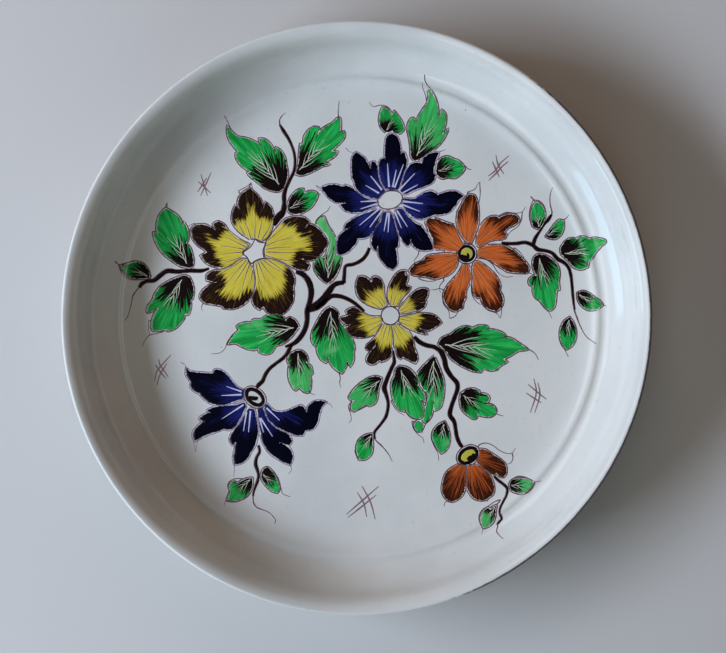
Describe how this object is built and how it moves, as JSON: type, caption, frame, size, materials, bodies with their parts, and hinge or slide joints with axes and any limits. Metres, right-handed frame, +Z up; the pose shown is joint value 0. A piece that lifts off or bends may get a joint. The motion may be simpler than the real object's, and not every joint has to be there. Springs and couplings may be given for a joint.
{
  "type": "hand painted plate",
  "caption": "Shallow round glazed earthenware plate with an upright curved wall and foot ring, hand painted with flowers on branching stems.",
  "frame": {"origin": "centre of the plate, on the plane that its foot ring rests on", "axes": "+Z up out of the open dish along its axis; +Y towards the top of the painting; +X to its right"},
  "size_m": [0.28, 0.28, 0.038],
  "materials": {
    "bare_clay": "unglazed fired clay",
    "grey_glaze": "glossy, pale grey with fine pits",
    "yellow_enamel": "glossy brushed enamel",
    "navy_enamel": "glossy brushed enamel",
    "orange_enamel": "glossy brushed enamel",
    "green_enamel": "glossy brushed enamel",
    "dark_enamel": "glossy brushed enamel",
    "mauve_line": "glossy thin line"
  },
  "bodies": {
    "root": {"clay_body": "bare_clay", "face_glaze": "grey_glaze", "back_glaze": "grey_glaze", "well_glaze": "grey_glaze", "yellow_bloom": "yellow_enamel", "blue_bloom": "navy_enamel", "orange_bloom": "orange_enamel", "yellow_posy": "yellow_enamel", "blue_bell": "navy_enamel", "orange_bell": "orange_enamel", "orange_bloom_ring": "dark_enamel", "blue_bell_ring": "dark_enamel", "orange_bell_ring": "dark_enamel", "orange_bloom_core": "yellow_enamel", "orange_bell_core": "yellow_enamel", "leaf_north_west": "green_enamel", "leaf_north": "green_enamel", "leaf_by_fork": "green_enamel", "leaf_bud": "green_enamel", "leaf_flame": "green_enamel", "leaf_east_of_blue": "green_enamel", "leaf_west_upper": "green_enamel", "leaf_west_lower": "green_enamel", "leaf_west_tip": "green_enamel", "leaf_curl": "green_enamel", "leaf_mid_west": "green_enamel", "leaf_mid": "green_enamel", "leaf_mid_small": "green_enamel", "leaf_south": "green_enamel", "leaf_south_tip": "green_enamel", "leaf_south_twin": "green_enamel", "leaf_south_tall": "green_enamel", "leaf_drop": "green_enamel", "leaf_east_big": "green_enamel", "leaf_east_small": "green_enamel", "leaf_south_east": "green_enamel", "leaf_bell_east": "green_enamel", "leaf_bell_south": "green_enamel", "leaf_east_bud": "green_enamel", "leaf_east_bud_small": "green_enamel", "leaf_east_rim": "green_enamel", "leaf_east_inner": "green_enamel", "leaf_east_edge": "green_enamel", "leaf_east_low": "green_enamel", "leaf_bell_twig_west": "green_enamel", "leaf_bell_twig_east": "green_enamel", "stem_main": "dark_enamel", "stem_north": "dark_enamel", "stem_west": "dark_enamel", "stem_south": "dark_enamel", "stem_east": "dark_enamel", "stem_right": "dark_enamel", "stem_orange_bell": "dark_enamel", "stem_blue_bell": "dark_enamel", "mark_north_west": "mauve_line", "mark_north_east": "mauve_line", "mark_west": "mauve_line", "mark_east": "mauve_line", "mark_south": "mauve_line"}
  },
  "joints": []
}
